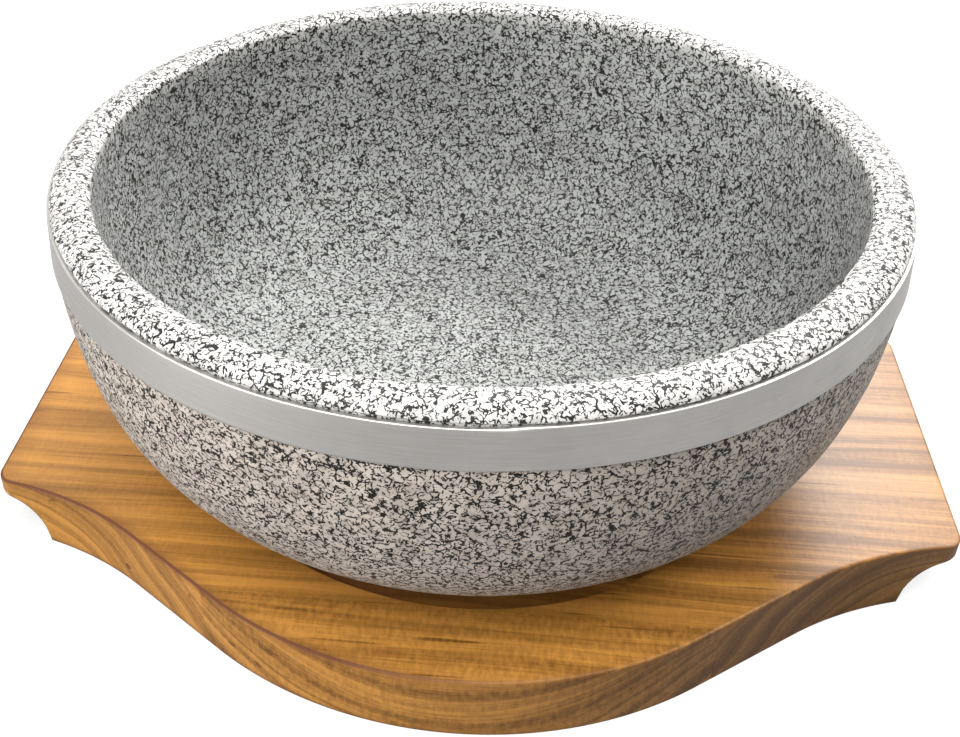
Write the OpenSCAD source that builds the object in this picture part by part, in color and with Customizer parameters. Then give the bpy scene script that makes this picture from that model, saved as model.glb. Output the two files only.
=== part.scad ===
// Turned granite bowl with a metal hoop round its rim, seated in the recess of a
// glued wooden tray. Millimetres, +Z up, origin under the middle of the tray.

/* [Bowl] */
// Largest outside diameter of the stone, just under the hoop
bowl_d = 200; // [170:1:230]
// Height of the bowl from its foot to the crown of its rim
bowl_h = 80; // [68:1:95]
// Diameter of the flat foot
foot_d = 120; // [100:1:135]
// Lean of the outer wall just under the hoop, in degrees
wall_lean = 1; // [0:0.5:4]
// Slope of the outer wall where it meets the foot, in degrees
foot_slope = 41; // [30:1:55]
// Radius of the eased edge round the foot
foot_ease = 2; // [1:0.5:4]
// How far the bowl stands to the left of the middle of the recess
bowl_off = 1.6; // [-4:0.1:4]
// Depth of the inside below the lip
inside_depth = 65; // [50:1:70]
// Diameter of the flat middle of the inside floor
floor_d = 84; // [60:1:100]

/* [Rim] */
// Width of the rim from the hoop land to the lip
rim_w = 9.3; // [7:0.1:13]
// Height of the crown above the top edge of the hoop
crown_h = 2.7; // [2:0.1:4]
// Width of the outer rounding of the rim
nose_w = 5.5; // [3:0.1:6.5]
// Drop of the lip below the crown
lip_drop = 1.7; // [1:0.1:3]

/* [Hoop] */
// Width of the strip
hoop_w = 9.6; // [7:0.1:13]
// Thickness of the strip
hoop_t = 1; // [0.6:0.1:1.6]
// How far the strip stands proud of the stone
hoop_proud = 0.5; // [0.2:0.1:0.9]
// How much smaller the top edge of the hoop is than the bottom edge, on the radius
hoop_lean = 0.6; // [0:0.1:1.2]
// Eased corner of the strip
hoop_ease = 0.2; // [0.1:0.05:0.25]
// Gap between the strip and its land in the stone
hoop_gap = 0.05; // [0.02:0.01:0.1]

/* [Tray] */
// Length of the tray from end to end
tray_l = 238; // [222:1:270]
// Width of the tray across its bulges
tray_w = 188; // [176:1:200]
// Thickness of the boards
tray_t = 17.5; // [15:0.5:24]
// Width of the straight ends
end_w = 85; // [70:1:100]
// Length of the straight run between the bulge and the hollow
straight_run = 30; // [20:1:45]
// Radius of the hollow part of the outline
hollow_r = 87; // [70:1:100]
// Radius of the rounded corners of the ends
corner_r = 5; // [2:0.5:8]
// Radius of the cove cut under each end for the fingers
cove_r = 12.7; // [8:0.1:14]
// Depth of the round recess
recess_depth = 2.5; // [1.5:0.5:5]
// Room round the foot of the bowl in the recess
recess_play = 13; // [4:0.5:16]
// Width of the front and back boards at the middle of the bulges
edge_board_w = 20.5; // [14:0.5:30]

/* [Hidden] */

$fn = 96;
granite = "#b9b8b6";
metal = "#b4b4b2";
wood = "#bd8a50";

// Steps in each curved stretch of the turned sections
wall_steps = 22;
edge_steps = 6;

// Heights, from the underside of the tray
foot_z = tray_t - recess_depth;
crown_z = foot_z + bowl_h;
hoop_top = crown_z - crown_h;
hoop_bottom = hoop_top - hoop_w;
lip_z = crown_z - lip_drop;
floor_z = lip_z - inside_depth;

// Radii of the bowl
bowl_r = bowl_d / 2;
foot_r = foot_d / 2;
rim_r = bowl_r - hoop_lean;
lip_r = rim_r - rim_w;
crown_r = rim_r - nose_w;
floor_r = floor_d / 2;
land_sink = hoop_t - hoop_proud + hoop_gap;

// Fullness of the curves: how far each end's straight pull reaches along the wall
outer_pull = 0.755;
foot_pull = 0.49;
inner_pull = 0.72;
floor_pull = 0.75;
inner_lean = 1.5;

// Plan of the tray: a bulge arc, a straight run tangent to it, and a hollow arc that is
// tangent to the run and passes through the end's corner
bulge_r = tray_w / 2;
half_l = tray_l / 2;
half_end = end_w / 2;
end_point = [half_l, half_end];
// The hollow's centre lies hollow_r from that corner, and its distance from the middle
// closes a right triangle on both radii and the straight run
both_r = bulge_r + hollow_r;
hollow_far = norm([both_r, straight_run]);
end_far = norm(end_point);
end_dir = end_point / end_far;
hollow_ahead = (hollow_far ^ 2 + end_far ^ 2 - hollow_r ^ 2) / (2 * end_far);
hollow_beside = sqrt(hollow_far ^ 2 - hollow_ahead ^ 2);
hollow_c = hollow_ahead * end_dir + hollow_beside * [-end_dir[1], end_dir[0]];
run_angle = atan2(hollow_c[1], hollow_c[0]) + atan2(straight_run, both_r);
run_out = [cos(run_angle), sin(run_angle)];
run_dir = [run_out[1], -run_out[0]];
run_start = bulge_r * run_out;
run_end = run_start + straight_run * run_dir;
// The corner's rounding touches the end and the hollow
corner_c = [half_l - corner_r,
            hollow_c[1] - sqrt((hollow_r + corner_r) ^ 2 - (hollow_c[0] - half_l + corner_r) ^ 2)];
corner_touch = hollow_c + (corner_c - hollow_c) * hollow_r / (hollow_r + corner_r);

recess_r = foot_r + recess_play;
// How far cutting shapes reach past what they cut
spill = 1;

// Joints between the boards, from the front edge to the back edge
outer_joint = bulge_r - edge_board_w;
inner_joint = outer_joint / 3;
joints = [-tray_w, -outer_joint, -inner_joint, inner_joint, outer_joint, tray_w];

// A point on the cubic curve with end points a and d and control points b and c
function pull_curve(a, b, c, d, t) =
    (1 - t) ^ 3 * a + 3 * (1 - t) ^ 2 * t * b + 3 * (1 - t) * t ^ 2 * c + t ^ 3 * d;

// Points along that curve, both ends included
function curve_points(a, b, c, d, steps) = [for (i = [0:steps]) pull_curve(a, b, c, d, i / steps)];

// Points along an upright oval arc about c, from one angle to another
function oval_arc(c, rx, rz, from, to, steps) =
    [for (i = [0:steps]) let (a = from + (to - from) * i / steps) c + [rx * cos(a), rz * sin(a)]];

// Points that round the corner b between a and c with the radius r
function eased_corner(a, b, c, r, steps) =
    let (u = (a - b) / norm(a - b), v = (c - b) / norm(c - b), half = acos(u * v) / 2)
    let (centre = b + (u + v) / norm(u + v) * r / sin(half))
    let (p = b + u * r / tan(half) - centre, q = b + v * r / tan(half) - centre)
    let (whole = 180 - 2 * half)
    [for (i = [0:steps]) let (k = i / steps)
        centre + (sin((1 - k) * whole) * p + sin(k * whole) * q) / sin(whole)];

// Outer wall of the bowl from under the hoop down to its foot
wall_top = [bowl_r, hoop_bottom];
foot_edge = [foot_r, foot_z];
wall_h = hoop_bottom - foot_z;
foot_tangent = [cos(foot_slope), sin(foot_slope)];
outer_wall = curve_points(
    wall_top,
    wall_top - outer_pull * wall_h * [sin(wall_lean), cos(wall_lean)],
    foot_edge + foot_pull * (bowl_r - foot_r) * foot_tangent,
    foot_edge, wall_steps);
outer_wall_to_ease = [for (p = outer_wall) if (norm(p - foot_edge) > 2 * foot_ease) p];

// Inside of the bowl from the lip down to the flat of its floor
lip = [lip_r, lip_z];
floor_edge = [floor_r, floor_z];
inner_wall = curve_points(
    lip,
    lip - inner_pull * inside_depth * [sin(inner_lean), cos(inner_lean)],
    floor_edge + [floor_pull * (lip_r - floor_r), 0],
    floor_edge, wall_steps);

module stone_bowl() {
    color(granite)
    translate([-bowl_off, 0, 0])
    rotate_extrude()
    polygon(concat(
        [[0, floor_z], [0, foot_z]],
        eased_corner([0, foot_z], foot_edge, foot_edge + foot_tangent, foot_ease, edge_steps),
        [for (i = [len(outer_wall_to_ease) - 1:-1:0]) outer_wall_to_ease[i]],
        [[bowl_r - land_sink, hoop_bottom], [rim_r - land_sink, hoop_top]],
        oval_arc([crown_r, hoop_top], nose_w, crown_h, 0, 90, edge_steps),
        [for (p = oval_arc([crown_r, lip_z], crown_r - lip_r, lip_drop, 90, 180, edge_steps))
            if (p[0] < crown_r - 0.01) p],
        [for (i = [1:wall_steps]) inner_wall[i]]));
}

module rim_hoop() {
    out_low = [bowl_r + hoop_proud, hoop_bottom];
    out_high = [rim_r + hoop_proud, hoop_top];
    in_high = out_high - [hoop_t, 0];
    in_low = out_low - [hoop_t, 0];
    color(metal)
    translate([-bowl_off, 0, 0])
    rotate_extrude()
    polygon(concat(
        eased_corner(in_low, out_low, out_high, hoop_ease, 3),
        eased_corner(out_low, out_high, in_high, hoop_ease, 3),
        [in_high, in_low]));
}

// The corner of the end that the rounding takes away
module end_corner_waste() {
    translate([0, 0, -spill])
    linear_extrude(tray_t + 2 * spill)
    difference() {
        polygon([corner_c, [half_l + spill, corner_c[1]], [half_l + spill, half_end + spill],
                 corner_touch + spill * run_out, corner_touch]);
        translate(corner_c) circle(r = corner_r);
    }
}

// The straight runs and the ends, which the bulges and the hollows meet
module runs_and_ends() {
    quarter = [run_start, run_end, end_point];
    back = [for (i = [2:-1:0]) quarter[i]];
    polygon([for (s = [[1, 1], [1, -1], [-1, -1], [-1, 1]])
        each [for (p = s[0] * s[1] > 0 ? quarter : back) [s[0] * p[0], s[1] * p[1]]]]);
}

module whole_tray() {
    difference() {
        union() {
            cylinder(h = tray_t, r = bulge_r);
            linear_extrude(tray_t) runs_and_ends();
        }
        for (x = [-1, 1], y = [-1, 1])
            translate([x * hollow_c[0], y * hollow_c[1], -spill])
                cylinder(h = tray_t + 2 * spill, r = hollow_r);
        for (x = [0, 1], y = [0, 1])
            mirror([x, 0, 0]) mirror([0, y, 0]) end_corner_waste();
        translate([0, 0, foot_z]) cylinder(h = recess_depth + spill, r = recess_r);
        for (x = [-1, 1])
            translate([x * half_l, 0, 0]) rotate([90, 0, 0])
                cylinder(h = tray_w, r = cove_r, center = true);
    }
}

// The board between two neighbouring joints
module board(i) {
    color(wood)
    intersection() {
        whole_tray();
        translate([-tray_l, joints[i], -spill])
            cube([2 * tray_l, joints[i + 1] - joints[i], tray_t + 2 * spill]);
    }
}

stone_bowl();
rim_hoop();
board(0);  // board_front
board(1);  // board_mid_front
board(2);  // board_middle
board(3);  // board_mid_back
board(4);  // board_back
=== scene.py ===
"""A turned granite bowl with a metal hoop on a glued wooden tray, dressed for rendering."""
import math
from collections import namedtuple
from functools import partial

import bmesh
import bpy
import numpy as np
from mathutils import Matrix, Vector


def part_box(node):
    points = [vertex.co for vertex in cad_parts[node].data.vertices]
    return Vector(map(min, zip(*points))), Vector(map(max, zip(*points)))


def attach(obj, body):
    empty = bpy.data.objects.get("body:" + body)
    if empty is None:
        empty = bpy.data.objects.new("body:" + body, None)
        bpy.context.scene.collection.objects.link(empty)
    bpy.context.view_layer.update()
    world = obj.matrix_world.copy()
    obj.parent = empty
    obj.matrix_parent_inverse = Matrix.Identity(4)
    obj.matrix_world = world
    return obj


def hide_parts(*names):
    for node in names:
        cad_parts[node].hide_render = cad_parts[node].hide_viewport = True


bl_info = {
    "name": "Stone bowl on its tray",
    "version": (1, 0, 0),
    "blender": (4, 5, 0),
    "location": "3D View > Sidebar > Stone Bowl",
    "description": "Builds the granite bowl, its hoop, the boards of the tray and the stage",
    "category": "Add Mesh",
}

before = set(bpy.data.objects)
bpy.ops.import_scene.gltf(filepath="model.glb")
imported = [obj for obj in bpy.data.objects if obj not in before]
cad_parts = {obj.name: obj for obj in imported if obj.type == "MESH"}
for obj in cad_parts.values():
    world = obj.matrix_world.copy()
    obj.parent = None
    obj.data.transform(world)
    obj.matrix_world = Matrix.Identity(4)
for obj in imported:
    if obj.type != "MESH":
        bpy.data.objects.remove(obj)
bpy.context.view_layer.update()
MM = 0.001
MICRON = 1e-6
BODY = "root"

# sizes that the CAD nodes give, in metres
BOWL_LOW, BOWL_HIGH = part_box("stone_bowl")
HOOP_LOW, HOOP_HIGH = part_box("rim_hoop")
FRONT_LOW, FRONT_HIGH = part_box("board_front")
AXIS = np.array([(BOWL_LOW[0] + BOWL_HIGH[0]) / 2, 0, 0])
BOWL_R = (BOWL_HIGH[0] - BOWL_LOW[0]) / 2
HOOP_R = (HOOP_HIGH[0] - HOOP_LOW[0]) / 2
FOOT_Z, CROWN_Z = BOWL_LOW[2], BOWL_HIGH[2]
HOOP_BOTTOM, HOOP_TOP = HOOP_LOW[2], HOOP_HIGH[2]
HALF_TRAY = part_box("board_middle")[1][0]
BULGE_R = -FRONT_LOW[1]
TRAY_TOP = FRONT_HIGH[2]

# each board's CAD node and the name of the piece that stands for it
BOARDS = {
    "board_front": "front_board",
    "board_mid_front": "front_inner_board",
    "board_middle": "middle_board",
    "board_mid_back": "back_inner_board",
    "board_back": "back_board",
}

# the Mix node's factor, colour inputs and colour output, by place, because it has several
# sockets of each name
MIX_SHARE, MIX_A, MIX_B, MIXED = 0, 6, 7, 2


def length(name, description, default):
    """A property that holds a length in metres."""
    return bpy.props.FloatProperty(name=name, description=description, default=default,
                                   unit="LENGTH", precision=5)


def angle(name, description, degrees):
    """A property that holds an angle."""
    return bpy.props.FloatProperty(name=name, description=description,
                                   default=math.radians(degrees), subtype="ANGLE")


def number(name, description, default):
    """A property that holds a plain number."""
    return bpy.props.FloatProperty(name=name, description=description, default=default,
                                   precision=4)


def hex_colour(code):
    """An sRGB hex colour as the linear values that shader sockets take, fully opaque."""
    srgb = np.array([int(code[i:i + 2], 16) for i in (1, 3, 5)]) / 255
    linear = np.where(srgb <= 0.04045, srgb / 12.92, ((srgb + 0.055) / 1.055) ** 2.4)
    return (*linear.tolist(), 1.0)


def colour(name, description, code):
    """A property that holds a colour, written as sRGB hex."""
    return bpy.props.FloatVectorProperty(name=name, description=description, size=4, min=0,
                                         max=1, default=hex_colour(code), subtype="COLOR")


def place(name, description, millimetres):
    """A property that holds a place in the frame."""
    return bpy.props.FloatVectorProperty(name=name, description=description,
                                         default=[value * MM for value in millimetres],
                                         subtype="TRANSLATION")


class BowlSettings(bpy.types.PropertyGroup):
    """Sizes and colours of the bowl"""
    foot_d: length("Foot", "Diameter of the flat foot", 120 * MM)
    wall_lean: angle("Wall lean", "Lean of the outer wall under the hoop", 1)
    foot_slope: angle("Foot slope", "Slope of the outer wall where it meets the foot", 41)
    foot_ease: length("Foot ease", "Radius of the eased edge round the foot", 2 * MM)
    inside_depth: length("Inside depth", "Depth of the inside below the lip", 65 * MM)
    floor_d: length("Inside floor", "Diameter of the flat middle of the inside floor", 84 * MM)
    rim_w: length("Rim", "Width of the rim from the hoop land to the lip", 9.3 * MM)
    nose_w: length("Nose", "Width of the outer rounding of the rim", 5.5 * MM)
    lip_drop: length("Lip drop", "Drop of the lip below the crown", 1.7 * MM)
    hoop_t: length("Hoop thickness", "Thickness of the hoop that the land is cut for", 1 * MM)
    hoop_proud: length("Hoop proud", "How far the hoop stands proud of the stone", 0.5 * MM)
    hoop_lean: length("Hoop lean", "How much smaller the hoop is at its top edge", 0.6 * MM)
    hoop_gap: length("Hoop gap", "Gap between the hoop and its land", 0.05 * MM)
    waver: length("Waver", "How far the hand-finished lip wavers from a true circle", 0.22 * MM)
    crystal: colour("Crystal", "Feldspar, the pale grain", "#c7c5c2")
    quartz: colour("Quartz", "Quartz, the grey grain", "#b0aeab")
    mica: colour("Mica", "Biotite mica, the dark grain", "#181614")
    # the inside tone paints shade over the inside walls, and the outside tone paints warm bounce
    # light from the tray on the outer wall
    shaded_inside_tone: colour("Inside tone", "Cast of the pale grains inside the bowl", "#d6dada")
    bounce_lit_outside_tone: colour("Outside tone", "Cast of the pale grains outside the bowl", "#f5eae0")


class HoopSettings(bpy.types.PropertyGroup):
    """Sizes and colours of the hoop"""
    ease: length("Ease", "Eased corner of the strip", 0.2 * MM)
    weld_at: angle("Weld", "Where the strip's ends meet, turned from the front", 7)
    weld_step: length("Weld step", "Height by which the ends miss each other at the top edge",
                      0.35 * MM)
    weld_w: length("Weld width", "Length of the ground stretch at the weld", 5 * MM)
    metal: colour("Metal", "Aluminium, where the brush left it bright", "#d2cfcb")
    metal_dull: colour("Dull metal", "Aluminium between the brush lines", "#bcb9b5")


class TraySettings(bpy.types.PropertyGroup):
    """Sizes and colours of the tray"""
    end_w: length("Ends", "Width of the straight ends", 85 * MM)
    straight_run: length("Run", "Straight run between the bulge and the hollow", 30 * MM)
    hollow_r: length("Hollow", "Radius of the hollow part of the outline", 87 * MM)
    corner_r: length("Corner", "Radius of the rounded corners of the ends", 5 * MM)
    cove_r: length("Cove", "Radius of the cove under each end", 12.7 * MM)
    recess_r: length("Recess", "Radius of the round recess", 73 * MM)
    arris: length("Arris", "Eased edge of the boards", 0.6 * MM)
    wood_light: colour("Early wood", "Pale wood between the rings", "#bf863c")
    wood_dark: colour("Late wood", "Darker wood of the rings", "#69420e")
    # the colour of the painted shade along the arrises, at the foot and in the recess under the
    # bowl
    browned: colour("Painted edge shade", "Painted shade along the arrises, at the foot and in the recess", "#582c0a")


class StageSettings(bpy.types.PropertyGroup):
    """Camera, light from all round and table"""
    camera_at: place("Camera", "Place of the camera", (9.64, -264.02, 230.07))
    aim_at: place("Aim", "Point that the camera looks at", (-15.88, -1.39, 42.99))
    roll: angle("Roll", "Roll of the camera about its view", 0.088)
    focal: number("Focal length", "Focal length in millimetres on a 36 mm sensor", 46.434)
    shift_x: number("Shift X", "Sideways shift of the lens", 0.0655)
    shift_y: number("Shift Y", "Upward shift of the lens", -0.0431)
    ambient: number("Ambient", "Strength of the light from all round", 0.02)
    table: colour("Table", "Tone of the table as the bowl mirrors it", "#898989")


def add_node(tree, kind, settings=None, links=None):
    """Adds a node and returns it. settings are its own attributes or, where it has no such
    attribute, its inputs. links are inputs fed by an output or by a node's first output."""
    node = tree.nodes.new(kind)
    for key, value in (settings or {}).items():
        if isinstance(key, str) and hasattr(node, key):
            setattr(node, key, value)
        else:
            node.inputs[key].default_value = value
    for key, source in (links or {}).items():
        output = source.outputs[0] if isinstance(source, bpy.types.Node) else source
        tree.links.new(output, node.inputs[key])
    return node


def new_material(name):
    """An empty node material and its tree, ready for a shader."""
    material = bpy.data.materials.new(name)
    material.use_nodes = True
    material.node_tree.nodes.clear()
    return material, material.node_tree


def new_mesh(name, points, faces, **values):
    """A mesh of points and faces. Each of values becomes an attribute of its points."""
    mesh = bpy.data.meshes.new(name)
    mesh.from_pydata(points, [], faces)
    for key, value in values.items():
        attribute = mesh.attributes.new(key, "FLOAT", "POINT")
        attribute.data.foreach_set("value", value.astype(np.float32))
    return mesh


def as_piece(mesh, material, sharp=40):
    """Makes a piece of a mesh, smooth but for edges sharper than the given angle in degrees.
    It rides on the one body and wears the given material."""
    mesh.materials.append(material)
    mesh.shade_smooth()
    mesh.set_sharp_from_angle(angle=math.radians(sharp))
    piece = bpy.data.objects.new(mesh.name, mesh)
    bpy.context.scene.collection.objects.link(piece)
    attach(piece, BODY)
    return piece


def grid_faces(rows, columns, closed_rows=False):
    """Quads of a grid of points whose columns close on themselves, and whose rows do too
    where closed_rows is set."""
    row = np.arange(rows if closed_rows else rows - 1)[:, None]
    column = np.arange(columns)[None, :]
    below = row * columns
    above = (row + 1) % rows * columns
    after = (column + 1) % columns
    quads = np.stack([below + column, below + after, above + after, above + column], axis=-1)
    return quads.reshape(-1, 4)


def capped_faces(rows, columns):
    """Faces of such a grid, closed at its first and its last row by a fan of triangles. The
    middles of the two fans are the two points that follow those of the grid."""
    around = np.arange(columns)
    after = (around + 1) % columns
    last = (rows - 1) * columns
    first_middle = np.full(columns, rows * columns)
    faces = grid_faces(rows, columns)[:, ::-1].tolist()
    faces += np.column_stack([first_middle, around, after]).tolist()
    faces += np.column_stack([first_middle + 1, last + after, last + around]).tolist()
    return faces


def pull_curve(a, b, c, d, count):
    """Points on the cubic curve from a to d that leaves a towards b and reaches d from c:
    (1-t)^3 a + 3(1-t)^2 t b + 3(1-t) t^2 c + t^3 d."""
    t = np.linspace(0, 1, count)[:, None]
    return (1 - t) ** 3 * a + 3 * (1 - t) ** 2 * t * b + 3 * (1 - t) * t ** 2 * c + t ** 3 * d


def oval_arc(centre, across, up, start, end, count):
    """Points centre + (across cos a, up sin a), with a from start to end in degrees."""
    a = np.radians(np.linspace(start, end, count))[:, None]
    return np.asarray(centre) + np.hstack([across * np.cos(a), up * np.sin(a)])


def level_points(radii, height):
    """Points of a section that all lie at one height."""
    return np.column_stack([radii, np.full(len(radii), height)])


def bowl_section(size):
    """Radius and height along the bowl's section, from the middle of the inside floor, up the
    inside, over the rim, down the hoop land and the outer wall, to the middle of the foot.
    Both walls are cubic curves and both sides of the rim are quarters of an oval."""
    # how far the straight pull at each end reaches along its wall
    outer_pull, foot_pull, inner_pull, floor_pull = 0.755, 0.49, 0.72, 0.75
    inner_lean = math.radians(1.5)
    wall_count, rim_count, ease_count, land_count = 60, 14, 6, 8
    floor_count, foot_count = 12, 8
    # the nose ends at this angle, in degrees, just above the hoop land
    nose_end = 12

    rim_r = BOWL_R - size.hoop_lean
    lip_r = rim_r - size.rim_w
    crown_r = rim_r - size.nose_w
    foot = np.array([size.foot_d / 2, FOOT_Z])
    under_hoop = np.array([BOWL_R, HOOP_BOTTOM])
    lip = np.array([lip_r, CROWN_Z - size.lip_drop])
    floor_edge = np.array([size.floor_d / 2, lip[1] - size.inside_depth])
    up_inside = np.array([math.sin(inner_lean), math.cos(inner_lean)])
    up_outside = np.array([math.sin(size.wall_lean), math.cos(size.wall_lean)])
    off_foot = np.array([math.cos(size.foot_slope), math.sin(size.foot_slope)])

    inner = pull_curve(floor_edge, floor_edge + [floor_pull * (lip_r - floor_edge[0]), 0],
                       lip - inner_pull * size.inside_depth * up_inside, lip, wall_count)
    outer = pull_curve(under_hoop,
                       under_hoop - outer_pull * (HOOP_BOTTOM - FOOT_Z) * up_outside,
                       foot + foot_pull * (BOWL_R - foot[0]) * off_foot, foot, wall_count)
    # the edge round the foot is eased over this reach on both of its sides
    reach = size.foot_ease * math.tan(size.foot_slope / 2)
    outer = outer[np.hypot(*(outer - foot).T) > 2 * size.foot_ease]
    ease = pull_curve(foot + reach * off_foot, foot, foot, foot - [reach, 0], ease_count)
    sink = size.hoop_t - size.hoop_proud + size.hoop_gap
    return np.vstack([
        level_points(np.linspace(0, floor_edge[0], floor_count)[1:-1], floor_edge[1]),
        inner[:-1],
        oval_arc([crown_r, lip[1]], crown_r - lip_r, size.lip_drop, 180, 90, rim_count)[:-1],
        oval_arc([crown_r, HOOP_TOP], size.nose_w, CROWN_Z - HOOP_TOP, 90, nose_end, rim_count),
        np.linspace([rim_r - sink, HOOP_TOP], [BOWL_R - sink, HOOP_BOTTOM], land_count),
        outer,
        ease,
        level_points(np.linspace(foot[0] - reach, 0, foot_count)[1:-1], FOOT_Z),
    ])


def revolve(section, columns):
    """Points of a section turned about the Z axis: (r cos a, r sin a, z) for each of the
    section's points and each angle a, as an array of rows by columns by 3."""
    a = np.linspace(0, 2 * math.pi, columns, endpoint=False)
    radius, height = section[:, :1], section[:, 1:]
    return np.stack([radius * np.cos(a), radius * np.sin(a), height + 0 * a], axis=-1)


def turned_waver(points, amount):
    """How far each point lies off the true circle, as a hand-held grinder leaves it: the mean,
    weighted by their shares, of three slow waves round the bowl, each
    sin(count * angle + phase + turn * height / 30 mm)."""
    a = np.arctan2(points[..., 1], points[..., 0])
    height = points[..., 2] / (30 * MM)
    waves = ((5, 1.0, 0.7, 1), (11, 0.7, 2.1, -2), (23, 0.5, 4.0, 3))
    total = sum(share * np.sin(count * a + phase + turn * height)
                for count, share, phase, turn in waves)
    return amount * total / sum(share for _, share, _, _ in waves)


def granite_material(size):
    """Granite, turned and ground: pale feldspar and grey quartz grains about 2.6 mm across
    with short strokes of dark mica between them, up to 0.4 mm wide. It gives the eye a matt
    salt-and-pepper stone."""
    material, tree = new_material("granite_ground")
    node = partial(add_node, tree)
    metres = node("ShaderNodeTexCoord").outputs["Object"]
    mm = node("ShaderNodeMapping", {"Scale": (1000, 1000, 1000)}, {"Vector": metres})
    # grain borders bend by up to 1 mm over 2 mm
    bend = node("ShaderNodeTexNoise", {"Scale": 0.5, "Detail": 2, "Roughness": 0.6},
                {"Vector": mm})
    bent = node("ShaderNodeVectorMath", {"operation": "MULTIPLY_ADD", 1: (2.2, 2.2, 2.2)},
                {0: bend.outputs["Color"], 2: mm})
    strokes = []
    # two sizes of stroke: cells per mm, half the stroke's width as a share of a cell, breaks
    # per mm along it, and how much of the network is left open
    for cells, half_width, breaks, open_share in ((0.5, 0.0896, 0.75, 0.43),
                                                  (0.85, 0.1088, 1.1, 0.465)):
        border = node("ShaderNodeTexVoronoi", {"feature": "DISTANCE_TO_EDGE", "Scale": cells},
                      {"Vector": bent})
        broken = node("ShaderNodeTexNoise", {"Scale": breaks, "Detail": 2, "Roughness": 0.5},
                      {"Vector": mm})
        width = node("ShaderNodeMapRange", {"From Min": open_share, "From Max": open_share + 0.1,
                                            "To Max": half_width}, {"Value": broken})
        inside = node("ShaderNodeMath", {"operation": "SUBTRACT"}, {0: width, 1: border})
        strokes.append(node("ShaderNodeMapRange", {"From Max": 0.018}, {"Value": inside}))
    # scattered flakes, about 0.5 mm across
    flakes = node("ShaderNodeTexNoise", {"Scale": 0.9, "Detail": 2, "Roughness": 0.5},
                  {"Vector": bent})
    strokes.append(node("ShaderNodeMapRange", {"From Min": 0.68, "From Max": 0.71},
                        {"Value": flakes}))
    dark = strokes[0]
    for more in strokes[1:]:
        dark = node("ShaderNodeMath", {"operation": "MAXIMUM"}, {0: dark, 1: more})
    # each grain is feldspar, quartz or between them, and clouded over 1 mm
    grains = node("ShaderNodeTexVoronoi", {"Scale": 0.38}, {"Vector": bent})
    cloud = node("ShaderNodeTexNoise", {"Scale": 0.8, "Detail": 4, "Roughness": 0.7},
                 {"Vector": mm})
    grey = node("ShaderNodeMath", {"operation": "ADD"}, {0: grains.outputs["Color"], 1: cloud})
    grey = node("ShaderNodeMapRange", {"interpolation_type": "SMOOTHSTEP", "From Min": 0.7,
                                       "From Max": 1.5}, {"Value": grey})
    stone = node("ShaderNodeMix", {"data_type": "RGBA", MIX_A: size.crystal, MIX_B: size.quartz},
                 {MIX_SHARE: grey})
    # the inside is darkened and cooled as painted shade, and the outer wall is warmed as painted
    # bounce light from the wooden tray; the rim, dressed last with a finer wheel, is left clear of
    # both, so it is paler than the walls partly from its finer finish and partly because the
    # painted shade stops at its lip
    rim = node("ShaderNodeAttribute", {"attribute_name": "rim"}).outputs["Fac"]
    outside = node("ShaderNodeAttribute", {"attribute_name": "outside"}).outputs["Fac"]
    painted_light_cast = node("ShaderNodeMix", {"data_type": "RGBA", MIX_A: size.shaded_inside_tone,
                                  MIX_B: size.bounce_lit_outside_tone}, {MIX_SHARE: outside})
    painted_light_cast = node("ShaderNodeMix", {"data_type": "RGBA", MIX_B: (1, 1, 1, 1)},
                {MIX_SHARE: rim, MIX_A: painted_light_cast.outputs[MIXED]})
    stone = node("ShaderNodeVectorMath", {"operation": "MULTIPLY"},
                 {0: stone.outputs[MIXED], 1: painted_light_cast.outputs[MIXED]})
    stone = node("ShaderNodeMix", {"data_type": "RGBA", MIX_B: size.mica},
                 {MIX_SHARE: dark, MIX_A: stone})
    rough = node("ShaderNodeMapRange", {"To Min": 0.62, "To Max": 0.45}, {"Value": dark})
    relief = node("ShaderNodeMath", {"operation": "SUBTRACT"}, {0: cloud, 1: dark})
    bump = node("ShaderNodeBump", {"Strength": 0.2, "Distance": 0.1 * MM}, {"Height": relief})
    shader = node("ShaderNodeBsdfPrincipled", {"IOR": 1.5, "Specular IOR Level": 0.2},
                  {"Base Color": stone.outputs[MIXED], "Roughness": rough, "Normal": bump})
    node("ShaderNodeOutputMaterial", {}, {"Surface": shader})
    return material


class STONE_OT_bowl(bpy.types.Operator):
    """Turns the granite bowl from its section and hides the plain solid"""
    bl_idname = "stone.bowl"
    bl_label = "Granite bowl"

    def execute(self, context):
        size = context.scene.bowl_settings
        section = bowl_section(size)
        columns = 480
        radius, height = section.T
        before_outer_wall = np.arange(len(section)) < radius.argmax()
        # the outer wall keeps its true circle at the hoop and wavers in full 9 mm below it,
        # and the whole bowl wavers less towards its foot
        true_stretch, fade = 0.15 * MM, 9 * MM
        share = np.clip((HOOP_BOTTOM - true_stretch - height) / fade, 0, 1)
        share = np.where(before_outer_wall, 1.0, share)
        share *= np.clip(height / (60 * MM) - 0.3, 0.1, 1)
        # it only ever moves inwards, so the bowl stays inside its solid's box
        points = revolve(section, columns)
        move = np.abs(turned_waver(points, size.waver)) * share[:, None]
        points[..., :2] *= (1 - move / radius[:, None])[..., None]
        middles = [[0, 0, height[0]], [0, 0, height[-1]]]
        points = np.vstack([points.reshape(-1, 3), middles]) + AXIS
        # 1 on the rim, and down to 0 over the 3 mm below its lip
        below_lip = CROWN_Z - size.lip_drop - height
        on_rim = np.clip(1 - below_lip / (3 * MM), 0, 1)
        # the rim and outside values choose where the granite paints shade inside the bowl and
        # bounce light on its outer wall
        mesh = new_mesh("granite_bowl", points, capped_faces(len(section), columns),
                        rim=np.append(np.repeat(on_rim, columns), [0, 0]),
                        outside=np.append(np.repeat(~before_outer_wall, columns), [0, 1]))
        piece = as_piece(mesh, granite_material(size))
        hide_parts("stone_bowl")
        return {"FINISHED"}


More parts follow.
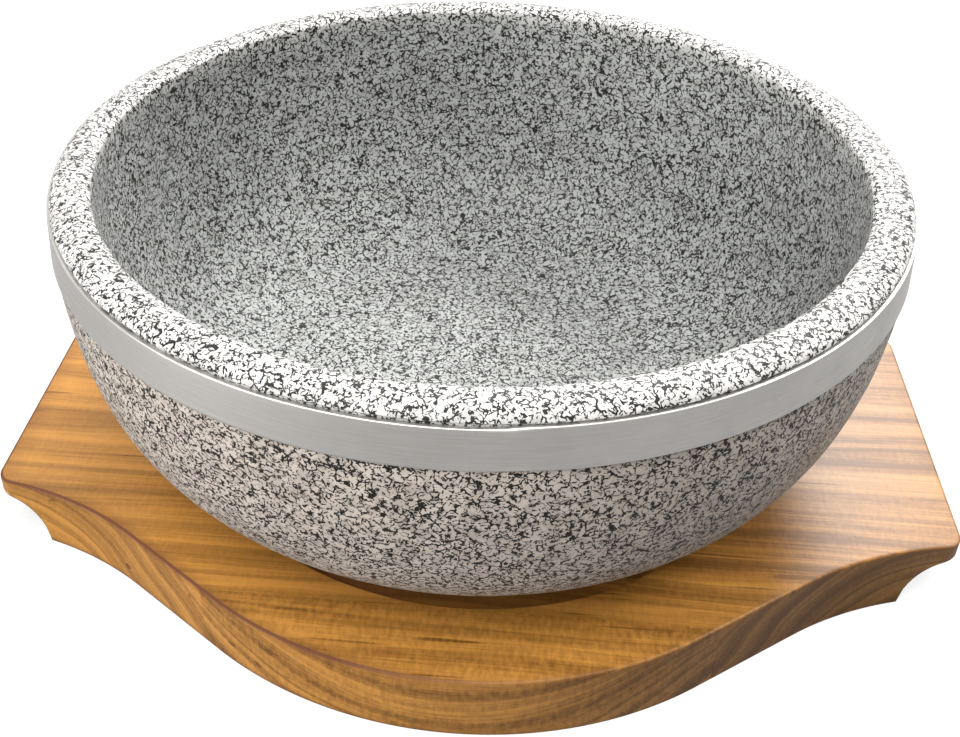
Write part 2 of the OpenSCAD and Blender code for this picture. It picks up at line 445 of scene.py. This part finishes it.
def satin_metal_material(size):
    """Aluminium strip, rolled and satin-brushed along its length: a soft broad shine with
    faint lines 0.4 mm apart that run round the hoop, clouded over 15 mm."""
    material, tree = new_material("aluminium_satin")
    node = partial(add_node, tree)
    metres = node("ShaderNodeTexCoord").outputs["Object"]
    apart = node("ShaderNodeSeparateXYZ", {}, {0: metres})
    turn = node("ShaderNodeMath", {"operation": "ARCTAN2"},
                {0: apart.outputs["Y"], 1: apart.outputs["X"]})
    strip = node("ShaderNodeCombineXYZ", {}, {"X": turn, "Y": apart.outputs["Z"]})
    # brush lines are 0.4 mm apart in height and about 15 mm long round the hoop
    lines = node("ShaderNodeMapping", {"Scale": (7, 2500, 1)}, {"Vector": strip})
    brushed = node("ShaderNodeTexNoise", {"Scale": 1, "Detail": 3, "Roughness": 0.7},
                   {"Vector": lines})
    cloudy = node("ShaderNodeTexNoise", {"Scale": 70, "Detail": 4, "Roughness": 0.6},
                  {"Vector": metres})
    tone = node("ShaderNodeMath", {"operation": "ADD"}, {0: brushed, 1: cloudy})
    spread = {"From Min": 0.7, "From Max": 1.3}
    bright = node("ShaderNodeMapRange", spread, {"Value": tone})
    metal = node("ShaderNodeMix", {"data_type": "RGBA", MIX_A: size.metal_dull,
                                   MIX_B: size.metal}, {MIX_SHARE: bright})
    rough = node("ShaderNodeMapRange", {**spread, "To Min": 0.46, "To Max": 0.38},
                 {"Value": tone})
    bump = node("ShaderNodeBump", {"Strength": 0.08, "Distance": 0.03 * MM}, {"Height": brushed})
    shader = node("ShaderNodeBsdfPrincipled", {"Metallic": 1.0},
                  {"Base Color": metal.outputs[MIXED], "Roughness": rough, "Normal": bump})
    node("ShaderNodeOutputMaterial", {}, {"Surface": shader})
    return material


class STONE_OT_hoop(bpy.types.Operator):
    """Bends the hoop from its strip, with the step where its ends are welded"""
    bl_idname = "stone.hoop"
    bl_label = "Rim hoop"

    def execute(self, context):
        size = context.scene.hoop_settings
        bowl = context.scene.bowl_settings
        columns = 720
        a = np.linspace(0, 2 * math.pi, columns, endpoint=False)
        # how far each place lies from the weld, as an angle and along the strip
        away = (a + math.pi / 2 - size.weld_at + math.pi) % (2 * math.pi) - math.pi
        along = away * HOOP_R
        # the ends, below side 0 and above it, miss each other in height at the weld and
        # level out towards the back
        side = np.tanh(2.5 * along / size.weld_w)
        settle = 1 - np.abs(away) / math.pi
        top = HOOP_TOP - size.weld_step / 2 * (1 - side * settle)
        # the weld was ground flush, which eased the strip's edges there
        ground = np.exp(-(along / size.weld_w) ** 2)
        ease = size.ease * (1 + 1.4 * ground)
        low_r, high_r = HOOP_R, HOOP_R - bowl.hoop_lean
        turn = np.radians(np.linspace(0, 90, 5))[:, None]
        face = np.linspace(0.06, 0.94, 8)[:, None]
        inside = np.linspace(0, 1, 4)[:, None]
        # radius and height along the strip's section: round the lower edge, up the face, over
        # the upper edge and down the inside
        section = (
            (low_r - ease * (1 - np.sin(turn)), HOOP_BOTTOM + ease * (1 - np.cos(turn))),
            (low_r + face * (high_r - low_r), HOOP_BOTTOM + face * (top - HOOP_BOTTOM)),
            (high_r - ease * (1 - np.cos(turn)), top - ease * (1 - np.sin(turn))),
            (high_r - bowl.hoop_t + inside * (low_r - high_r), top + inside * (HOOP_BOTTOM - top)),
        )
        radius = np.vstack([r + 0 * a for r, _ in section])
        height = np.vstack([z for _, z in section])
        points = np.stack([radius * np.cos(a), radius * np.sin(a), height], axis=-1) + AXIS
        faces = grid_faces(len(radius), columns, closed_rows=True)
        mesh = new_mesh("rim_strip", points.reshape(-1, 3), faces.tolist())
        piece = as_piece(mesh, satin_metal_material(size), sharp=50)
        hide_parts("rim_hoop")
        return {"FINISHED"}


def arc(centre, radius, start, end, spacing):
    """Points centre + radius (cos a, sin a), with a from start to end in radians, the last
    one left out, about the given spacing apart."""
    steps = max(2, int(abs(end - start) * radius / spacing))
    a = np.linspace(start, end, steps, endpoint=False)[:, None]
    return np.asarray(centre) + radius * np.hstack([np.cos(a), np.sin(a)])


def run(start, end, spacing):
    """Points on the straight line from start to end, the last one left out."""
    start, end = np.asarray(start), np.asarray(end)
    return np.linspace(start, end, int(math.dist(start, end) / spacing), endpoint=False)


def tray_outline(size, spacing=0.9 * MM):
    """The tray's plan as a closed run of points, anticlockwise from the right end: each
    quarter is half an end, the rounded corner, the hollow arc, a straight run tangent to it
    and half a bulge arc. The hollow's centre lies hollow_r from the end's corner and, from
    the middle, at the long side of the right triangle of both radii and the straight run."""
    corner = np.array([HALF_TRAY, size.end_w / 2])
    both = BULGE_R + size.hollow_r
    far = math.hypot(both, size.straight_run)
    corner_far = math.hypot(*corner)
    ahead = (far ** 2 + corner_far ** 2 - size.hollow_r ** 2) / (2 * corner_far)
    beside = math.sqrt(far ** 2 - ahead ** 2)
    towards = corner / corner_far
    hollow = ahead * towards + beside * np.array([-towards[1], towards[0]])
    run_angle = math.atan2(hollow[1], hollow[0]) + math.atan2(size.straight_run, both)
    out = np.array([math.cos(run_angle), math.sin(run_angle)])
    along = np.array([out[1], -out[0]])
    run_start = BULGE_R * out
    run_end = run_start + size.straight_run * along
    # the corner's rounding touches the end and the hollow
    round_r = size.corner_r
    round_x = HALF_TRAY - round_r
    drop = math.sqrt((size.hollow_r + round_r) ** 2 - (hollow[0] - round_x) ** 2)
    round_c = np.array([round_x, hollow[1] - drop])
    touch = hollow - round_c
    touch_angle = math.atan2(touch[1], touch[0])
    quarter = np.vstack([
        run((HALF_TRAY, 0), (HALF_TRAY, round_c[1]), spacing),
        arc(round_c, round_r, 0, touch_angle, 0.4 * spacing),
        arc(hollow, size.hollow_r, touch_angle - math.pi, run_angle - math.pi, spacing),
        run(run_end, run_start, spacing),
        arc((0, 0), BULGE_R, run_angle, math.pi / 2, spacing),
    ])
    upper = np.vstack([quarter, [[0, BULGE_R]], (quarter[1:] * [-1, 1])[::-1]])
    lower = (upper[1:] * [1, -1])[::-1]
    return np.vstack([upper, [[-HALF_TRAY, 0]], lower])


def tray_surface(size):
    """The whole tray as rows that run round it, from the middle of the recess, out over the
    top, down the side and back under to the middle. Heights under the tray follow
    sqrt(cove_r^2 - (half length - |x|)^2) past the start of each cove. Each point is its
    place and how much painted shade it takes."""
    outline = tray_outline(size)
    around = np.roll(outline, -1, axis=0) - np.roll(outline, 1, axis=0)
    around /= np.hypot(around[:, 0], around[:, 1])[:, None]
    out = np.column_stack([around[:, 1], -around[:, 0]])
    ray = outline / np.hypot(outline[:, 0], outline[:, 1])[:, None]
    # radius that the cutter leaves round the recess floor, the eased edge of the recess, and
    # the eased edges of the tray's top and underside
    cutter, recess_ease = 1.2 * MM, 0.35 * MM
    ease, low_ease = size.arris, 0.6 * size.arris
    quarter = np.radians([0, 30, 60, 90])
    rows = []

    def under(plan):
        """Height of the underside at points of the plan."""
        from_end = np.clip(HALF_TRAY - np.abs(plan[:, 0]), 0, None)
        return np.sqrt(np.clip(size.cove_r ** 2 - from_end ** 2, 0, None))

    def add_row(plan, height, browned=0.0):
        """Adds a row round the tray."""
        flat = np.zeros(len(plan))
        rows.append(np.column_stack([plan, height + flat, browned + flat]))

    # the recess: its floor, the cutter's radius, and the edge eased over onto the top, with
    # painted shadow under the bowl on the floor and the cutter's radius and some painted shade on
    # the eased edge
    floor_r = size.recess_r - cutter
    for share in np.linspace(0, 1, 8)[1:]:
        add_row(ray * share * floor_r, FOOT_Z, 0.6)
    for a in quarter[1:]:
        add_row(ray * (floor_r + cutter * math.sin(a)), FOOT_Z + cutter * (1 - math.cos(a)), 0.8)
    for a in quarter:
        add_row(ray * (size.recess_r + recess_ease * (1 - math.cos(a))),
                TRAY_TOP - recess_ease * (1 - math.sin(a)), 0.5)
    # the top, from clear of the recess to just short of the arris, with a little painted shade in
    # its last row
    inner = ray * (size.recess_r + 1.5 * recess_ease)
    rim = outline - out * (ease * 1.35)
    for share in np.linspace(0, 1, 10):
        add_row(inner + share * (rim - inner), TRAY_TOP, 0.35 if share == 1 else 0.0)
    # the arris, from the top down to the side, and how much painted shade each row of it takes,
    # which draws a dark line along the edge
    for degrees, browned in ((90, 0.9), (67, 1.0), (45, 1.0), (22, 0.9), (0, 0.4)):
        a = math.radians(degrees)
        add_row(outline - out * ease * (1 - math.cos(a)), TRAY_TOP - ease * (1 - math.sin(a)),
                browned)
    # the side, with a little painted shade along both of its edges
    side_top, side_foot = TRAY_TOP - ease, under(outline) + low_ease
    for share, browned in ((0.04, 0.3), (0.1, 0), (0.3, 0), (0.5, 0), (0.7, 0), (0.9, 0),
                           (0.97, 0.3)):
        add_row(outline, side_top * (1 - share) + side_foot * share, browned)
    # the eased edge of the underside takes painted contact shadow where the tray stands on the
    # table
    for a in quarter:
        plan = outline - out * low_ease * (1 - math.cos(a))
        add_row(plan, under(plan) + low_ease * (1 - math.sin(a)), 0.8)
    # the underside: close rows up the coves, drawn in to where those start, or by a little
    # where there is no cove, and then the flat
    base = outline - out * low_ease
    cove_start = HALF_TRAY - size.cove_r
    flat_share = cove_start / np.maximum(np.abs(base[:, 0]), cove_start / 2)
    flat_share = np.minimum(0.985, flat_share)[:, None]
    for a in np.radians(np.linspace(0, 90, 13)[1:]):
        plan = base * (1 - (1 - flat_share) * math.sin(a))
        add_row(plan, under(plan))
    for share in np.linspace(1, 0, 9)[1:-1]:
        plan = base * flat_share * share
        add_row(plan, under(plan))
    return np.stack(rows)


# how the wood of a board looks: its own shift along the grain, the place and the height of
# the tree's middle, all in mm, how much cross-grain figure shows, how far its tone leans to
# the dark, how much painted shade darkens its right side and how much painted sheen lightens the
# wood near the right end
BoardLook = namedtuple("BoardLook", "shift pith_y pith_z ripple dark heart pale")
BOARD_LOOKS = {
    "board_front": BoardLook(0, -50, -38, 0.45, 0.08, 0.3, 0),
    "board_mid_front": BoardLook(310, -10, -34, 0.2, 0.08, 0.4, 0.05),
    "board_middle": BoardLook(620, 30, -55, 0.15, 0.06, 0.42, 0),
    "board_mid_back": BoardLook(930, 70, -45, 0.15, 0.06, 0.35, 0),
    "board_back": BoardLook(1240, 60, 70, 0.3, 0.2, 0.2, 0),
}


def wood_material(name, size, look):
    """Alder board, planed, shaped and oiled: growth rings cut lengthwise show as long bands
    some 6 mm apart with thin lines between them, over fibre streaks of 0.3 mm, with a soft
    sheen. look is the board's own BoardLook."""
    material, tree = new_material(name)
    node = partial(add_node, tree)
    metres = node("ShaderNodeTexCoord").outputs["Object"]
    mm = node("ShaderNodeMapping", {"Scale": (1000, 1000, 1000), "Location": (look.shift, 0, 0)},
              {"Vector": metres})
    # distance from the tree's middle, which sways along the board
    sway = node("ShaderNodeMapping", {"Scale": (0.006, 0.03, 0.03)}, {"Vector": mm})
    sway = node("ShaderNodeTexNoise", {"Scale": 1, "Detail": 2}, {"Vector": sway})
    sway = node("ShaderNodeMapRange", {"To Min": -8, "To Max": 8}, {"Value": sway})
    centred = node("ShaderNodeVectorMath",
                   {"operation": "SUBTRACT", 1: (0, look.pith_y, look.pith_z)}, {0: mm})
    apart = node("ShaderNodeSeparateXYZ", {}, {0: centred})
    x, height = apart.outputs["X"], apart.outputs["Z"]
    across = node("ShaderNodeMath", {"operation": "ADD"}, {0: apart.outputs["Y"], 1: sway})
    radial = node("ShaderNodeCombineXYZ", {}, {"Y": across, "Z": height})
    ring = node("ShaderNodeVectorMath", {"operation": "LENGTH"}, {0: radial}).outputs["Value"]
    bands = node("ShaderNodeTexNoise", {"noise_dimensions": "1D", "Scale": 0.16, "Detail": 4,
                                        "Roughness": 0.65}, {"W": ring})
    # a late-wood line stands wherever this second run of values crosses its middle
    rings = node("ShaderNodeTexNoise", {"noise_dimensions": "1D", "Scale": 0.8, "Detail": 1},
                 {"W": ring})
    rings = node("ShaderNodeMath", {"operation": "SUBTRACT", 1: 0.5}, {0: rings})
    rings = node("ShaderNodeMath", {"operation": "ABSOLUTE"}, {0: rings})
    late = node("ShaderNodeMapRange", {"From Max": 0.02, "To Min": 0.18, "To Max": 0},
                {"Value": rings})
    # the bands stand out more on the sides than on the planed top
    facing = node("ShaderNodeTexCoord").outputs["Normal"]
    facing = node("ShaderNodeSeparateXYZ", {}, {0: facing}).outputs["Z"]
    facing = node("ShaderNodeMath", {"operation": "ABSOLUTE"}, {0: facing})
    contrast = node("ShaderNodeMapRange", {"To Min": 0.62, "To Max": 0.48}, {"Value": facing})
    tone = node("ShaderNodeMapRange", {"From Min": 0.40, "From Max": 0.60}, {"Value": bands})
    tone = node("ShaderNodeMath", {"operation": "MULTIPLY"}, {0: tone, 1: contrast})
    tone = node("ShaderNodeMath", {"operation": "ADD", 1: look.dark}, {0: tone})
    # a few dark veins, 1 mm wide and 20 to 40 mm long
    vein = node("ShaderNodeMapping", {"Scale": (0.025, 0.5, 0.3)}, {"Vector": mm})
    vein = node("ShaderNodeTexNoise", {"Scale": 1, "Detail": 1}, {"Vector": vein})
    vein = node("ShaderNodeMapRange", {"From Min": 0.71, "From Max": 0.76, "To Max": 0.6},
                {"Value": vein})
    # painted shade darkens the board from 5 mm right of the middle on, standing in for the bowl's
    # shadow and the shade on the tray's right, and past 85 mm a painted sheen lightens it
    along = node("ShaderNodeSeparateXYZ", {}, {0: metres}).outputs["X"]
    heart = node("ShaderNodeMapRange", {"interpolation_type": "SMOOTHSTEP", "From Min": 5 * MM,
                                        "From Max": 55 * MM, "To Max": look.heart},
                 {"Value": along})
    pale = node("ShaderNodeMapRange", {"interpolation_type": "SMOOTHSTEP", "From Min": 85 * MM,
                                       "From Max": 105 * MM, "To Max": -look.pale},
                {"Value": along})
    parts = [late, vein, heart, pale]
    # streaks 2.5 mm apart that follow the rings, fibres 0.3 mm apart and cross-grain ripples,
    # each as a noise drawn out along the board, with its share in the tone
    by_ring = node("ShaderNodeCombineXYZ", {}, {"X": x, "Y": ring, "Z": height})
    for source, stretch, detail, share in ((by_ring, (0.01, 0.4, 0.04), 4, 0.42),
                                           (mm, (0.05, 3.6, 3.6), 2, 0.36),
                                           (mm, (0.9, 0.35, 0.35), 3, look.ripple)):
        drawn = node("ShaderNodeMapping", {"Scale": stretch}, {"Vector": source})
        drawn = node("ShaderNodeTexNoise", {"Scale": 1, "Detail": detail, "Roughness": 0.6},
                     {"Vector": drawn})
        parts.append(node("ShaderNodeMapRange", {"From Min": 0.3, "From Max": 0.7,
                                                 "To Min": -share / 2, "To Max": share / 2},
                          {"Value": drawn}))
    for part in parts:
        tone = node("ShaderNodeMath", {"operation": "ADD"}, {0: tone, 1: part})
    wood = node("ShaderNodeMix", {"data_type": "RGBA", MIX_A: size.wood_light,
                                  MIX_B: size.wood_dark}, {MIX_SHARE: tone})
    # the upright sides are darkened as painted shade, a little on the left and most of all on the
    # right
    oiled = node("ShaderNodeMapRange", {"From Min": -20 * MM, "From Max": 75 * MM,
                                        "To Min": 0.95, "To Max": 0.62}, {"Value": along})
    side_shade = node("ShaderNodeMapRange", {"To Max": 1}, {"Value": facing, "To Min": oiled})
    wood = node("ShaderNodeVectorMath", {"operation": "SCALE"},
                {0: wood.outputs[MIXED], "Scale": side_shade})
    # painted shade darkens the arrises, the foot edge and the recess under the bowl, in full on
    # the left and fading past the middle to a little on the right
    browned = node("ShaderNodeAttribute", {"attribute_name": "browned"}).outputs["Fac"]
    left = node("ShaderNodeMapRange", {"From Min": 45 * MM, "From Max": -25 * MM,
                                       "To Min": 0.15}, {"Value": along})
    browned = node("ShaderNodeMath", {"operation": "MULTIPLY"}, {0: browned, 1: left})
    wood = node("ShaderNodeMix", {"data_type": "RGBA", MIX_B: size.browned},
                {MIX_SHARE: browned, MIX_A: wood})
    bump = node("ShaderNodeBump", {"Strength": 0.1, "Distance": 0.05 * MM}, {"Height": tone})
    rough = node("ShaderNodeMapRange", {"To Min": 0.36, "To Max": 0.44}, {"Value": tone})
    # the wood is also made rougher where the shade is painted
    shade_roughness = node("ShaderNodeMath", {"operation": "MULTIPLY", 1: 0.4}, {0: browned})
    rough = node("ShaderNodeMath", {"operation": "ADD"}, {0: rough, 1: shade_roughness})
    shader = node("ShaderNodeBsdfPrincipled", {"IOR": 1.5},
                  {"Base Color": wood.outputs[MIXED], "Roughness": rough, "Normal": bump})
    node("ShaderNodeOutputMaterial", {}, {"Surface": shader})
    return material


def sawn_board(name, whole, front, back):
    """The mesh of a board: the whole tray cut by upright planes at the board's front and back
    joints, with its cut faces closed. Where the board ends with the tray there is no cut."""
    solid = bmesh.new()
    solid.from_mesh(whole)
    for y, side in ((front, -1), (back, 1)):
        if abs(y) > BULGE_R - MICRON:
            continue
        everything = solid.verts[:] + solid.edges[:] + solid.faces[:]
        cut = bmesh.ops.bisect_plane(solid, geom=everything, plane_co=(0, y, 0),
                                     plane_no=(0, side, 0), clear_outer=True)
        rim = [part for part in cut["geom_cut"] if isinstance(part, bmesh.types.BMEdge)]
        bmesh.ops.holes_fill(solid, edges=rim)
    bmesh.ops.recalc_face_normals(solid, faces=solid.faces)
    mesh = bpy.data.meshes.new(name)
    solid.to_mesh(mesh)
    solid.free()
    return mesh


class STONE_OT_tray(bpy.types.Operator):
    """Shapes the tray, saws it into its glued boards and gives each its own wood"""
    bl_idname = "stone.tray"
    bl_label = "Tray boards"

    def execute(self, context):
        size = context.scene.tray_settings
        surface = tray_surface(size)
        rows, columns = surface.shape[:2]
        middles = [[0, 0, FOOT_Z], [0, 0, 0]]
        points = np.vstack([surface[..., :3].reshape(-1, 3), middles])
        browned = np.append(surface[..., 3], [0, 0])
        whole = new_mesh("whole_tray", points, capped_faces(rows, columns), browned=browned)
        for cad_node, name in BOARDS.items():
            low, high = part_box(cad_node)
            mesh = sawn_board(name, whole, low[1], high[1])
            wood = wood_material("alder_" + name, size, BOARD_LOOKS[cad_node])
            piece = as_piece(mesh, wood)
            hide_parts(cad_node)
        bpy.data.meshes.remove(whole)
        return {"FINISHED"}


def table_material(size):
    """Matt white table: plain, so that only the soft shadow shows. The camera sees it white,
    and the bowl and its hoop are lit by its real, greyer tone."""
    material, tree = new_material("white_table")
    node = partial(add_node, tree)
    path = node("ShaderNodeLightPath").outputs["Is Camera Ray"]
    tone = node("ShaderNodeMix", {"data_type": "RGBA", MIX_A: size.table,
                                  MIX_B: hex_colour("#f6f6f6")}, {MIX_SHARE: path})
    matt = node("ShaderNodeBsdfDiffuse", {}, {"Color": tone.outputs[MIXED]})
    white = node("ShaderNodeEmission", {"Strength": 1.0})
    share = node("ShaderNodeMath", {"operation": "MULTIPLY", 1: 0.65}, {0: path})
    mix = node("ShaderNodeMixShader", {}, {0: share, 1: matt, 2: white})
    node("ShaderNodeOutputMaterial", {}, {"Surface": mix})
    return material


def studio_world(size):
    """A world that is white where the camera or a reflection meets it, and otherwise lights
    the bowl only a little from all round."""
    world = bpy.data.worlds.new("studio")
    world.use_nodes = True
    tree = world.node_tree
    tree.nodes.clear()
    node = partial(add_node, tree)
    path = node("ShaderNodeLightPath")
    seen = node("ShaderNodeMath", {"operation": "MAXIMUM"},
                {0: path.outputs["Is Camera Ray"], 1: path.outputs["Is Glossy Ray"]})
    dim = node("ShaderNodeBackground", {"Strength": size.ambient})
    white = node("ShaderNodeBackground", {"Color": hex_colour("#ffffff"), "Strength": 1.0})
    mix = node("ShaderNodeMixShader", {}, {0: seen, 1: dim, 2: white})
    node("ShaderNodeOutputWorld", {}, {"Surface": mix})
    return world


# each lamp's bearing from the right end of the tray and height over the table in degrees,
# the side of its square face in metres and its watts
Lamp = namedtuple("Lamp", "bearing height side watts")
LAMPS = {
    "softbox_over_camera": Lamp(249, 57, 0.8, 19),
    "window_back": Lamp(84, 57, 0.6, 11),
    "lamp_back_right": Lamp(70, 38, 0.45, 10),
    "lamp_right": Lamp(14, 38, 0.4, 9),
    "low_fill_front_left": Lamp(214, 8, 0.35, 10),
}
LAMP_FAR = 1.2
LAMP_AIM = Vector((0, 0, 0.05))
TABLE_R = 3.0


def add_softbox(name, lamp):
    """A square soft lamp that faces the bowl from LAMP_FAR metres away."""
    light = bpy.data.lights.new(name, "AREA")
    light.size = lamp.side
    light.energy = lamp.watts
    box = bpy.data.objects.new(name, light)
    bearing, height = math.radians(lamp.bearing), math.radians(lamp.height)
    level = math.cos(height)
    away = Vector((level * math.cos(bearing), level * math.sin(bearing), math.sin(height)))
    box.location = LAMP_AIM + LAMP_FAR * away
    box.rotation_euler = (-away).to_track_quat("-Z", "Y").to_euler()
    bpy.context.scene.collection.objects.link(box)


def add_camera(size):
    """The camera at its place, turned to its aim and rolled about its view."""
    camera = bpy.data.cameras.new("camera")
    camera.sensor_fit = "HORIZONTAL"
    camera.lens = size.focal
    camera.shift_x, camera.shift_y = size.shift_x, size.shift_y
    camera.clip_start = 10 * MM
    view = bpy.data.objects.new("camera", camera)
    start, aim = Vector(size.camera_at), Vector(size.aim_at)
    forward = (aim - start).normalized()
    level = forward.cross(Vector((0, 0, 1))).normalized()
    upright = level.cross(forward)
    right = level * math.cos(size.roll) + upright * math.sin(size.roll)
    up = right.cross(forward)
    turn = Matrix((right, up, -forward)).transposed().to_4x4()
    view.matrix_world = Matrix.Translation(start) @ turn
    bpy.context.scene.collection.objects.link(view)
    return view


class STONE_OT_stage(bpy.types.Operator):
    """Sets up the table, the studio light and the camera"""
    bl_idname = "stone.stage"
    bl_label = "Stage"

    def execute(self, context):
        size = context.scene.stage_settings
        scene = context.scene
        scene.view_settings.view_transform = "Standard"
        edge = revolve(np.array([[TABLE_R, 0.0]]), 96)[0]
        floor = new_mesh("floor", edge, [list(range(len(edge)))])
        floor.materials.append(table_material(size))
        ground = bpy.data.objects.new("floor", floor)
        scene.collection.objects.link(ground)
        scene.world = studio_world(size)
        for name, lamp in LAMPS.items():
            add_softbox(name, lamp)
        scene.camera = add_camera(size)
        return {"FINISHED"}


OPERATORS = (STONE_OT_stage, STONE_OT_bowl, STONE_OT_hoop, STONE_OT_tray)


class STONE_PT_panel(bpy.types.Panel):
    """Lists the pieces of the bowl and its tray"""
    bl_idname = "STONE_PT_panel"
    bl_label = "Stone bowl"
    bl_space_type = "VIEW_3D"
    bl_region_type = "UI"
    bl_category = "Stone Bowl"

    def draw(self, context):
        for operator in OPERATORS:
            self.layout.operator(operator.bl_idname)


SETTINGS = {
    "bowl_settings": BowlSettings,
    "hoop_settings": HoopSettings,
    "tray_settings": TraySettings,
    "stage_settings": StageSettings,
}
CLASSES = (*SETTINGS.values(), *OPERATORS, STONE_PT_panel)


def register():
    """Registers the classes and hangs each group of settings on the scene."""
    for item in CLASSES:
        bpy.utils.register_class(item)
    for name, group in SETTINGS.items():
        setattr(bpy.types.Scene, name, bpy.props.PointerProperty(type=group))


def unregister():
    """Takes back what register did."""
    for name in SETTINGS:
        delattr(bpy.types.Scene, name)
    for item in reversed(CLASSES):
        bpy.utils.unregister_class(item)


def main():
    """Builds every piece and the stage."""
    register()
    bpy.ops.stone.stage()
    bpy.ops.stone.bowl()
    bpy.ops.stone.hoop()
    bpy.ops.stone.tray()


if __name__ == "__main__":
    main()
